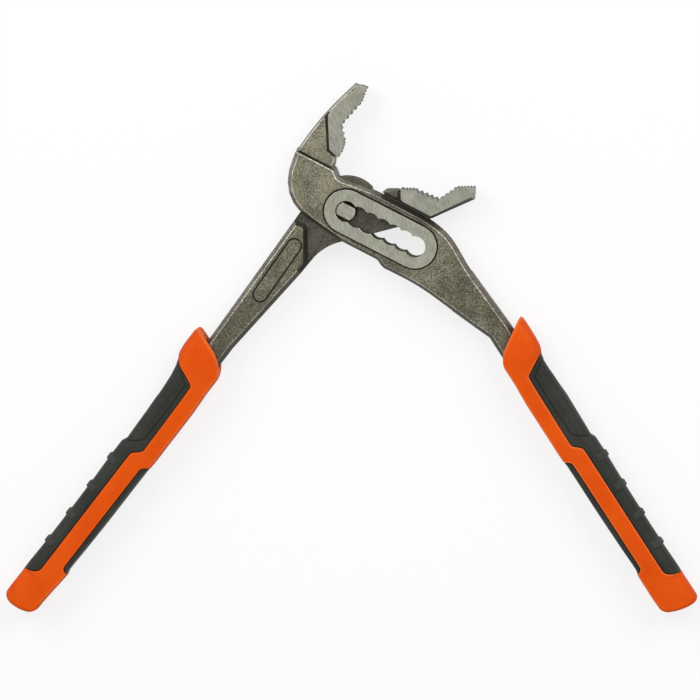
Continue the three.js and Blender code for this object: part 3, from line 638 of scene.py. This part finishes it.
def outward(t, z):
    """Unit normals of the half rings in their own planes, from the turn of the line through neighbours."""
    dt, dz = np.gradient(t, axis=1), np.gradient(z, axis=1)
    size = np.hypot(dt, dz) + 1e-12
    return dz / size, -dt / size


def steps(*runs):
    """Places along the handle, from runs of start, stop and spacing."""
    parts = [np.linspace(a, b, max(2, int(round((b - a) / d)) + 1)) for a, b, d in runs]
    return np.unique(np.round(np.concatenate(parts), 4))


def between(low, high, count):
    """Columns spread evenly between two running lengths, without their ends."""
    return low[:, None] + (high - low)[:, None] * np.linspace(0, 1, count + 2)[1:-1]


def spread(columns):
    """Columns of each row moved apart where they meet, so that no face is empty, with the row's ends kept."""
    least = 0.004
    apart = least * np.arange(columns.shape[1])
    moved = np.maximum.accumulate(columns - apart, axis=1) + apart
    return moved * columns[:, -1:] / moved[:, -1:]


def mirrored(front):
    """Whole rings from front halves: over the face, then back under the rear face, without repeated ends."""
    return np.hstack([front, front[:, -2:0:-1]])


def full_ring(front_t, front_z):
    """Whole rings of t and z from front halves, the rear half below the middle plane."""
    whole_z = mirrored(front_z)
    whole_z[:, front_z.shape[1]:] *= -1
    return mirrored(front_t), whole_z


def placed(grip, s, t, z):
    """Points in metres in the part's frame, from places along, outward of and above a grip's own axis."""
    cos, sin = math.cos(grip["angle"]), math.sin(grip["angle"])
    out = grip["side"] * (t + grip["shift"])
    along = s * np.where(s > 0, grip["stretch"], 1.0)
    x = PIN[0] + grip["x"] + along * cos - out * sin
    y = PIN[1] + grip["y"] + along * sin + out * cos
    return np.stack([x, y, MIDDLE + grip["side"] * z], axis=-1).reshape(-1, 3) * MM


def tube_faces(rows, columns):
    """Quads of a closed tube of rings, with a flat cap at each end."""
    r, c = np.meshgrid(np.arange(rows - 1), np.arange(columns), indexing="ij")
    after = (c + 1) % columns
    quads = np.stack([r * columns + c, r * columns + after, (r + 1) * columns + after, (r + 1) * columns + c], -1)
    last = (rows - 1) * columns
    return quads.reshape(-1, 4).tolist() + [list(range(columns))[::-1], list(range(last, last + columns))]


def skin(name, points, faces, rub_and_highlight, material, grip, node):
    """A smooth mesh object from arrays, riding on its lever in place of a CAD node. Its attribute
    edge_rub_and_highlight says how much each point is drawn paler, for wear in use and as painted highlight."""
    data = bpy.data.meshes.new(name)
    data.from_pydata(points, [], faces)
    data.materials.append(material)
    data.polygons.foreach_set("use_smooth", np.ones(len(data.polygons), bool))
    data.attributes.new("edge_rub_and_highlight", "FLOAT", "POINT").data.foreach_set("value", rub_and_highlight.reshape(-1).astype(np.float32))
    data.update()
    piece = in_scene(name, data)
    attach(piece, grip["body"])
    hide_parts(node)


# Sleeves: columns beside a seam and beside the belly's edge, numbers of columns between those, and runs of rings
SEAM_OFFSETS = np.array([-0.9, -0.4, -0.02, 0.0, 0.05, 0.11, 0.2, 0.32, 0.6, 1.2])
EDGE_OFFSETS = np.array([-0.5, -0.2, -0.07, 0.0, 0.05, 0.12, 0.25, 0.5, 1.0])
BACK_COLUMNS, FACE_COLUMNS, BELLY_COLUMNS = 14, 20, 7
LEAST_BACK = 0.2
CAP_START = 109.0
SLEEVE_RUNS = [(MOUTH_PLACE, -8.0, 0.6), (-8.0, 3.0, 0.2), (3.0, 32.0, 0.8), (32.0, 45.0, 0.25), (45.0, 89.0, 0.9),
               (89.0, 104.0, 0.22), (104.0, CAP_START, 0.6)]

# Beds of the pads: depth, how far past the seam they begin, rings of their end walls, and radius of their lips
PAD_SINK = 1.8
BED_START = 0.01
BED_WALL = np.array([0.0, 0.03, 0.12])
LIP = 0.32

# The mouth's rolled edge, and the hole for the steel: belly side, back side and half height round tang and shank
LIP_ROLL = 0.7
LIP_ANGLES = np.radians([90, 68, 46, 24])
TANG_HOLE = (-4.3, 3.9, 3.5)
SHANK_HOLE = (-5.4, 5.3, 5.5)
HOLE_SQUARENESS = 0.22
HOLE_END = 96.3
TANG_STEP = -4.7
MOUTH_BEVEL = 0.25

# The closed end: radii of its roundings, its rings' distances from the end, and sizes of the rings on the end
CAP_BACK, CAP_BELLY, CAP_FACE = 2.4, 2.5, 1.3
CAP_STEPS = np.array([2.8, 2.2, 1.7, 1.25, 0.9, 0.6, 0.38, 0.2, 0.08, 0.02, 0.0])
END_SIZES = (0.6, 0.25)

# Edges drawn paler, for wear and as painted highlight: place and width of a bell, and how much the mouth and the last
# rings of the closed end are drawn paler
BELLY_RUB_AND_HIGHLIGHT = (0.15, 0.3)
SEAM_RUB_AND_HIGHLIGHT = (0.2, 0.25)
MOUTH_RUB_AND_HIGHLIGHT = (MOUTH_PLACE, 0.7)
MOUTH_RUBBED_AND_HIGHLIT, END_RUBBED_AND_HIGHLIT = 0.6, 0.4
END_RUBBED_AND_HIGHLIT_RINGS = 5


def sleeve_skin(grip):
    """Outer skin of an orange sleeve, from the mouth to the start of the closed end: the grip's sections, sunk where
    the pads lie, with a rounded lip beside each bed, and bent to the mouth's edge. Gives its rings' s, t and z, how
    much they are drawn paler for wear and as painted highlight, and the shares of the first ring's length at which the
    columns lie."""
    back_bed, belly_bed = back_seam(grip), BELLY_SEAM
    walls = [wall for bed in (back_bed, belly_bed) for wall in (bed[0, 0] - BED_WALL, bed[-1, 0] + BED_WALL)]
    s = np.unique(np.concatenate([steps(*SLEEVE_RUNS), *walls]))
    t, z, length = ring(grip, s)
    total, face_edge = length[:, -1:], length[:, FACE_END, None]
    back, belly = [seam_length(bed, s, t, length)[:, None] for bed in (back_bed, belly_bed)]
    back_stretch, belly_stretch = [seam_slope(bed, s)[:, None] for bed in (back_bed, belly_bed)]
    first = back + SEAM_OFFSETS * back_stretch
    second = belly - SEAM_OFFSETS[::-1] * belly_stretch
    third = face_edge + EDGE_OFFSETS
    parts = [0 * total, between(0 * total[:, 0], np.maximum(first[:, 0], LEAST_BACK), BACK_COLUMNS), first,
             between(first[:, -1], second[:, 0], FACE_COLUMNS), second, third,
             between(third[:, -1], total[:, 0], BELLY_COLUMNS), total]
    columns = spread(np.clip(np.sort(np.hstack(parts), axis=1), 0, total))
    front_t, front_z, normal_t, normal_z = [rows_at(columns, length, v) for v in (t, z, *outward(t, z))]
    sunk_t, sunk_z, sunk_length = ring(grip, s, PAD_SINK)
    sunk_columns = columns / total * sunk_length[:, -1:]
    sunk_t, sunk_z = [rows_at(sunk_columns, sunk_length, v) for v in (sunk_t, sunk_z)]
    drop, sunk = 0.0, False
    # Drawn paler at the belly's edge, the mouth and beside the seams: wear, and painted highlight
    rubs_and_highlights = [bell(columns - face_edge, *BELLY_RUB_AND_HIGHLIGHT),
            np.broadcast_to(MOUTH_RUBBED_AND_HIGHLIT * bell(s[:, None], *MOUTH_RUB_AND_HIGHLIGHT), columns.shape)]
    for bed, past in ((back_bed, (columns - back) / back_stretch), (belly_bed, (belly - columns) / belly_stretch)):
        beside = ((s >= bed[0, 0]) & (s <= bed[-1, 0]))[:, None]
        drop = np.maximum(drop, np.where(beside, rounded_edge(np.maximum(past, 0), LIP), 0))
        sunk = sunk | (beside & (past < -BED_START))
        rubs_and_highlights.append(np.where(beside, grip["seam_rub_and_highlight"] * bell(past, *SEAM_RUB_AND_HIGHLIGHT), 0))
    front_t = np.where(sunk, sunk_t, front_t - drop * normal_t)
    front_z = np.where(sunk, sunk_z, front_z - drop * normal_z)
    front_z[:, [0, -1]] = 0
    towards_mouth = np.clip((COLLAR_PLACE - s) / (COLLAR_PLACE - MOUTH_PLACE), 0, 1)[:, None]
    front_s = s[:, None] + (mouth(grip, front_t) + LIP_ROLL - MOUTH_PLACE) * towards_mouth
    rings = (mirrored(front_s), *full_ring(front_t, front_z))
    return rings, mirrored(np.maximum.reduce(rubs_and_highlights)), columns[0] / total[0]


def plain_ring(grip, place, inset, shares):
    """One ring's t and z at a place, drawn in by an inset, with its points at the given shares of its length."""
    t, z, length = ring(grip, np.array([place]), inset)
    at = (shares * length[0, -1])[None, :]
    front_t, front_z = rows_at(at, length, t), rows_at(at, length, z)
    front_z[:, [0, -1]] = 0
    return full_ring(front_t, front_z)


def hole_ring(grip, hole, count):
    """A squared ring's t and z, for the hole that takes the steel, where the steel is."""
    low, high, half = hole
    angles = np.linspace(0, np.pi, count)
    cos, sin = np.cos(angles), np.sin(angles)
    t = (low + high) / 2 + (high - low) / 2 * np.sign(cos) * np.abs(cos) ** HOLE_SQUARENESS
    z = half * np.abs(sin) ** HOLE_SQUARENESS
    z[[0, -1]] = 0
    return full_ring(t[None, :] - grip["shift"], z[None, :])


def hole_rings(grip, count):
    """Rings of the hole's inner skin, from its inner end over the step to the mouth."""
    tang, shank = hole_ring(grip, TANG_HOLE, count), hole_ring(grip, SHANK_HOLE, count)
    return [(np.full_like(tang[0], HOLE_END), *tang), (np.full_like(tang[0], TANG_STEP), *tang),
            (np.full_like(shank[0], TANG_STEP), *shank), (mouth(grip, shank[0]) + MOUTH_BEVEL, *shank)]


def lip_rings(grip, shares):
    """Rings of the mouth's rolled edge, a quarter circle in section."""
    rings = []
    for angle in LIP_ANGLES:
        t, z = plain_ring(grip, MOUTH_PLACE, LIP_ROLL * (1 - math.cos(angle)), shares)
        rings.append((mouth(grip, t) + LIP_ROLL * (1 - math.sin(angle)), t, z))
    return rings


def end_rings(grip, shares):
    """Rings of the closed end: back, belly and faces draw in along quarter circles, and the end itself shrinks to
    its middle."""
    whole_t, whole_z = plain_ring(grip, CAP_START, 0.0, shares)
    low, high = whole_t.min(), whole_t.max()
    across = (whole_t - low) / (high - low)
    rings = []
    for left in CAP_STEPS:
        back, belly, face = [rounded_edge(left, radius) for radius in (CAP_BACK, CAP_BELLY, CAP_FACE)]
        t = low + belly + across * (high - low - belly - back)
        rings.append((cap_end(grip, t) - left, t, whole_z * (1 - face / GRIP_HALF)))
    _, last_t, last_z = rings[-1]
    middle = (last_t.max() + last_t.min()) / 2
    for size in END_SIZES:
        t = middle + (last_t - middle) * size
        rings.append((cap_end(grip, t), t, last_z * size))
    return rings


def sleeve(grip):
    """Orange sleeve: one closed tube of rings. From the inner end of the tang's hole it runs out to the mouth,
    rolls over the lip, follows the outer skin with sunk beds for both pads, and closes over a rounded end."""
    outer, outer_rub_and_highlight, shares = sleeve_skin(grip)
    hole, lip, end = hole_rings(grip, len(shares)), lip_rings(grip, shares), end_rings(grip, shares)
    all_s, all_t, all_z = [np.vstack([rings[k] for rings in (*hole, *lip, outer, *end)]) for k in range(3)]
    hole_rub_and_highlight, lip_rub_and_highlight, end_rub_and_highlight = [np.zeros((len(rings), all_s.shape[1])) for rings in (hole, lip, end)]
    # The lip and the end's last rings drawn paler: wear, and painted highlight
    lip_rub_and_highlight += MOUTH_RUBBED_AND_HIGHLIT
    end_rub_and_highlight[len(CAP_STEPS) - END_RUBBED_AND_HIGHLIT_RINGS:len(CAP_STEPS)] = END_RUBBED_AND_HIGHLIT
    skin(grip["lever"] + "_grip_sleeve", placed(grip, all_s, all_t, all_z), tube_faces(*all_s.shape),
         np.vstack([hole_rub_and_highlight, lip_rub_and_highlight, outer_rub_and_highlight, end_rub_and_highlight]), ORANGE, grip, grip["lever"] + "_grip")


# Pads: reach is measured from the middle of the wrap, and inside is the share of it that the rounded edge leaves
GAP = 0.32
PAD_THICKNESS = 1.45
PAD_DROP = 0.1
PAD_TOP = 7.48
PAD_EDGES = np.array([0.32, 0.2, 0.1, 0.04, 0.0])
LEAST_REACH, LEAST_INSIDE = 0.9, 0.4
PAD_END = 0.25
INNER_SPACING = 3

# The panel on a back pad: its line stays between two shares of the pad's reach, or clear of the pad's edge
PANEL_OFFSETS = np.array([-0.6, -0.34, -0.22, -0.14, -0.07, 0.0, 0.07, 0.14, 0.22, 0.34, 0.6])
PANEL_NEAREST, PANEL_FURTHEST, PANEL_CLEAR = 0.3, 0.75, 0.2
PANEL_WIDEST = 0.2
PANEL_DROP, PANEL_BLEND = 0.22, 0.3
PANEL_GROOVE, PANEL_GROOVE_WIDTH = 0.4, 0.15
PANEL_COLUMNS, RIM_COLUMNS = 22, 14

# Ridges across a back pad: each rises slowly before its place, drops sharply after it and fades out on the flank
RIDGES = 43.9 + 14.2 * np.arange(4)
RIDGE_HEIGHT = 0.75
RIDGE_BEFORE, RIDGE_RISE = 2.0, 1.3
RIDGE_AFTER, RIDGE_FALL = 1.7, 0.45
RIDGE_FLANK, RIDGE_FADE = 9.6, 1.3
# How much the ridges' tops are drawn paler: wear, and painted highlight
RIDGE_RUBBED_AND_HIGHLIT = 0.3
RIDGE_RUNS = [(place - 2.4, place + 2.2, 0.15) for place in RIDGES]

# The belly pad's bend: limits of its place and of its columns, mostly as shares of the pad's reach
BEND_FURTHEST, BEND_WIDEST = 0.8, 0.15
BEND_FIRST, BEND_LAST = 0.02, 0.97
SIDE_COLUMNS, FRONT_COLUMNS = 10, 5
# Width of the paler band along the bend: wear, and painted highlight
BEND_RUB_AND_HIGHLIGHT = 0.4


def pad_reach(width, stretch):
    """How far a pad reaches from the middle of its wrap, short of the seam by the gap, where its rounded edge begins,
    and the columns over that edge."""
    reach = np.maximum(width - GAP * stretch, LEAST_REACH)
    limit = np.maximum(reach - PAD_EDGES[0] * stretch, LEAST_INSIDE * reach)
    return reach, limit, reach[:, None] - PAD_EDGES * ((reach - limit) / PAD_EDGES[0])[:, None]


def pad_height(s, columns, reach, stretch):
    """Height of a pad's face over the grip's sections: a little below them, and rounded down at its edge and ends."""
    from_edge = (reach[:, None] - columns) / stretch[:, None]
    from_end = np.minimum(s - s[0], s[-1] - s)[:, None]
    return -rounded_edge(np.minimum(from_edge, from_end), LIP) - PAD_DROP


def pad_solid(grip, side, s, columns, height, rub_and_highlight):
    """A pad as one closed tube along the handle: each ring goes over the outer face, lifted by a height along the
    section's normals, and back along an inset copy of the section."""
    t, z, length = ring(grip, s)
    normal_t, normal_z = outward(t, z)
    half_t = rows_at(columns, length, t) + height * rows_at(columns, length, normal_t)
    half_z = rows_at(columns, length, z) + height * rows_at(columns, length, normal_z)
    deep_t, deep_z, deep_length = ring(grip, s, PAD_THICKNESS)
    deep_columns = columns[:, ::INNER_SPACING] / length[:, -1:] * deep_length[:, -1:]
    deep_t, deep_z = [rows_at(deep_columns, deep_length, v) for v in (deep_t, deep_z)]
    half_z = np.minimum(half_z, PAD_TOP)
    half_z[:, 0] = deep_z[:, 0] = 0
    sheet_t = np.hstack([half_t[:, ::-1], half_t[:, 1:], deep_t[:, ::-1], deep_t[:, 1:]])
    sheet_z = np.hstack([half_z[:, ::-1], -half_z[:, 1:], -deep_z[:, ::-1], deep_z[:, 1:]])
    sheet_rub_and_highlight = np.hstack([rub_and_highlight[:, ::-1], rub_and_highlight[:, 1:], 0 * deep_t, 0 * deep_t[:, 1:]])
    sheet_s = np.repeat(s[:, None], sheet_t.shape[1], axis=1)
    faces = tube_faces(*sheet_t.shape)
    if side == "back":
        faces = [face[::-1] for face in faces]
    skin(grip["lever"] + "_" + side + "_grip_pad", placed(grip, sheet_s, sheet_t, sheet_z), faces, sheet_rub_and_highlight,
         BLACK, grip, grip["lever"] + "_" + side + "_pad")


def back_pad(grip):
    """Black back pad: wrapped over the back edge from the seam on the front face to the same seam behind, with
    rounded edges, a lower panel inside a narrow groove, and four cross ridges that rise slowly and drop sharply."""
    seam = back_seam(grip)
    s = steps((seam[0, 0] + PAD_END, 3.2, 0.18), (3.2, 28.0, 0.5), (28.0, 41.0, 0.2), (41.0, 95.0, 0.7),
              (95.0, seam[-1, 0] - PAD_END, 0.2), *RIDGE_RUNS)
    t, _, length = ring(grip, s)
    stretch = seam_slope(seam, s)
    reach, limit, edge = pad_reach(seam_length(seam, s, t, length), stretch)
    widen = np.minimum(seam_slope(PANEL_SEAM, s), PANEL_WIDEST * limit / PANEL_OFFSETS[-1])
    furthest = np.maximum(PANEL_FURTHEST * limit, limit - PANEL_OFFSETS[-1] * widen - PANEL_CLEAR)
    panel = np.clip(seam_length(PANEL_SEAM, s, t, length), PANEL_NEAREST * limit, furthest)
    line = panel[:, None] + PANEL_OFFSETS * widen[:, None]
    columns = np.hstack([0 * line[:, :1], between(0 * limit, line[:, 0], PANEL_COLUMNS), line,
                         between(line[:, -1], limit, RIM_COLUMNS), edge])
    height = pad_height(s, columns, reach, stretch)
    has_panel = ((s > PANEL_SEAM[0, 0]) & (s < PANEL_SEAM[-1, 0]))[:, None]
    off_line = (columns - panel[:, None]) / widen[:, None]
    height -= np.where(has_panel, PANEL_DROP * smooth_step(0.5 - off_line / PANEL_BLEND)
                       + PANEL_GROOVE * bell(off_line, 0, PANEL_GROOVE_WIDTH), 0)
    ridges = np.zeros_like(s)
    for place in RIDGES:
        ridges += (smooth_step((s - place + RIDGE_BEFORE) / RIDGE_RISE)
                   * smooth_step((place + RIDGE_AFTER - s) / RIDGE_FALL))
    over_flank = smooth_step((RIDGE_FLANK - columns) / RIDGE_FADE)
    height += RIDGE_HEIGHT * ridges[:, None] * over_flank
    # The ridges drawn paler: wear, and painted highlight
    pad_solid(grip, "back", s, columns, height, RIDGE_RUBBED_AND_HIGHLIT * ridges[:, None] * over_flank)


def belly_pad(grip):
    """Black belly strip: wrapped over the belly side between its two seams, a little below the orange."""
    s = steps((BELLY_SEAM[0, 0] + PAD_END, 45.0, 0.2), (45.0, 90.0, 0.9), (90.0, BELLY_SEAM[-1, 0] - PAD_END, 0.2))
    t, _, length = ring(grip, s)
    total = length[:, -1]
    stretch = seam_slope(BELLY_SEAM, s)
    reach, limit, edge = pad_reach(total - seam_length(BELLY_SEAM, s, t, length), stretch)
    bend = np.minimum(total - length[:, FACE_END], BEND_FURTHEST * limit)[:, None]
    over_bend = bend - np.minimum(EDGE_OFFSETS[::-1], BEND_WIDEST * limit[:, None])
    over_bend = np.sort(np.clip(over_bend, BEND_FIRST, BEND_LAST * limit[:, None]), axis=1)
    columns = np.hstack([0 * bend, between(0 * limit, over_bend[:, 0], SIDE_COLUMNS), over_bend,
                         between(over_bend[:, -1], limit, FRONT_COLUMNS), edge])
    height = pad_height(s, columns, reach, stretch)
    # The bend drawn paler: wear, and painted highlight
    pad_solid(grip, "belly", s, total[:, None] - columns, height, bell(columns, bend, BEND_RUB_AND_HIGHLIGHT))


for grip in (RIGHT_GRIP, LEFT_GRIP):
    sleeve(grip)
    back_pad(grip)
    belly_pad(grip)


# Floor, light and camera

# The floor: half width in metres, greys to scattered light and to the camera, and the camera's share of plain white
FLOOR_HALF = 6.0
FLOOR_SCATTERS, FLOOR_SEEN = 0.55, 0.96
FLOOR_WHITE = 0.78

# The sky's strength as a light, and the soft boxes: places and size in metres, power in watts
SKY = 0.46
SOFT_BOXES = {"left_soft_box": (-0.75, 0.75, 1.0), "right_soft_box": (0.75, 0.75, 1.0)}
SOFT_BOX_SIZE = 0.9
SOFT_BOX_POWER = 9.4

# The camera: millimetres, but for its lean to each side and how far it sees in metres
LENS, SENSOR = 600.0, 36.0
VIEW_WIDTH = 288.6
TARGET_HEIGHT = 6.0
LEAN = math.radians(4.5)
SIGHT = 40.0


def background_ray(tree):
    """1 for a ray that sees the background: from the camera, or by reflection or through glass."""
    ray = add(tree, "ShaderNodeLightPath").outputs
    seen = add(tree, "ShaderNodeMath", {0: ray["Is Camera Ray"], 1: ray["Is Glossy Ray"]}, operation="MAXIMUM")
    return add(tree, "ShaderNodeMath", {0: seen.outputs[0], 1: ray["Is Transmission Ray"]},
               operation="MAXIMUM").outputs[0]


def floor():
    """A flat white floor, wide enough to fill every view. The camera sees it partly as lit and mostly as plain white,
    so the object's shadow stays but is faint. To scattered light it is a pale grey."""
    data = bpy.data.meshes.new("floor")
    corners = [(x * FLOOR_HALF, y * FLOOR_HALF, 0) for x, y in ((-1, -1), (1, -1), (1, 1), (-1, 1))]
    data.from_pydata(corners, [], [(0, 1, 2, 3)])
    material, tree, shader = blank("white_floor")
    seen = background_ray(tree)
    lit = add(tree, "ShaderNodeMapRange", {"Value": seen, "To Min": FLOOR_SCATTERS, "To Max": FLOOR_SEEN})
    fill(tree, shader, {"Base Color": lit.outputs[0], "Roughness": 0.9, "Specular IOR Level": 0.0})
    share = add(tree, "ShaderNodeMapRange", {"Value": seen, "To Min": 0.0, "To Max": FLOOR_WHITE})
    white = add(tree, "ShaderNodeEmission", {"Color": grey(1.0), "Strength": 1.0})
    both = add(tree, "ShaderNodeMixShader", {0: share.outputs[0], 1: shader.outputs[0], 2: white.outputs[0]})
    fill(tree, tree.nodes["Material Output"], {"Surface": both.outputs[0]})
    data.materials.append(material)
    made = in_scene("floor", data)


def soft_box(name, place):
    """A square soft box aimed at the middle of the floor."""
    light = bpy.data.lights.new(name, "AREA")
    light.shape = "SQUARE"
    light.size = SOFT_BOX_SIZE
    light.energy = SOFT_BOX_POWER
    made = in_scene(name, light)
    made.location = place
    made.rotation_euler = (-Vector(place)).to_track_quat("-Z", "Y").to_euler()


def studio():
    """An even pale world, white to the camera and to reflections, and two large soft boxes beyond the jaws."""
    world = bpy.data.worlds.new("studio")
    bpy.context.scene.world = world
    world.use_nodes = True
    tree = world.node_tree
    strength = add(tree, "ShaderNodeMapRange", {"Value": background_ray(tree), "To Min": SKY, "To Max": 1.0})
    fill(tree, tree.nodes["Background"], {"Color": grey(1.0), "Strength": strength.outputs[0]})
    for name, place in SOFT_BOXES.items():
        soft_box(name, place)


def camera():
    """A long lens almost straight above, leaning a little towards the jaws and to the right."""
    view = bpy.data.cameras.new("camera")
    view.lens = LENS
    view.sensor_width = SENSOR
    view.clip_end = SIGHT
    made = in_scene("camera", view)
    target = Vector((0.0, 0.0, (MIDDLE + TARGET_HEIGHT) * MM))
    back = Vector((math.tan(LEAN), math.tan(LEAN), 1.0)).normalized()
    right = Vector((0.0, 1.0, 0.0)).cross(back).normalized()
    up = back.cross(right)
    place = target + back * (VIEW_WIDTH * MM * LENS / SENSOR)
    made.matrix_world = Matrix(((right.x, up.x, back.x, place.x), (right.y, up.y, back.y, place.y),
                                (right.z, up.z, back.z, place.z), (0, 0, 0, 1)))
    bpy.context.scene.camera = made


floor()
studio()
camera()
bpy.context.scene.view_settings.view_transform = "Standard"
